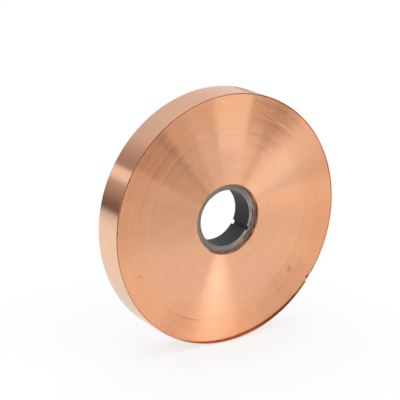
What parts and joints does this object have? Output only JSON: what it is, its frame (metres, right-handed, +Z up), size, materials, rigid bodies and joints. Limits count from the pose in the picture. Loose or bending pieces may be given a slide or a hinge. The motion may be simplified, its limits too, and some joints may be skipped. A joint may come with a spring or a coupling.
{
  "type": "coil of copper strip",
  "caption": "Coil of flat bare copper strip wound on a keyed paperboard core, with the last turn hanging slack. Raw stock to be paid off for stamping, earthing or winding.",
  "frame": {"origin": "on the floor, under the middle of the coil, where the bounding box's bottom is centred", "axes": "+Z up; the coil's axis lies along Y, with its front end (the deeper core recess) towards -Y; +X to the right seen from the front"},
  "size_m": [0.338, 0.045, 0.34],
  "materials": {
    "bare_copper": "bright rolled copper with slit edges, satin on the ends of the coil",
    "paperboard": "matt dark grey wound paperboard, rough on its cut ends"
  },
  "bodies": {
    "root": {"copper_strip": "bare_copper", "core_tube": "paperboard"}
  },
  "joints": []
}
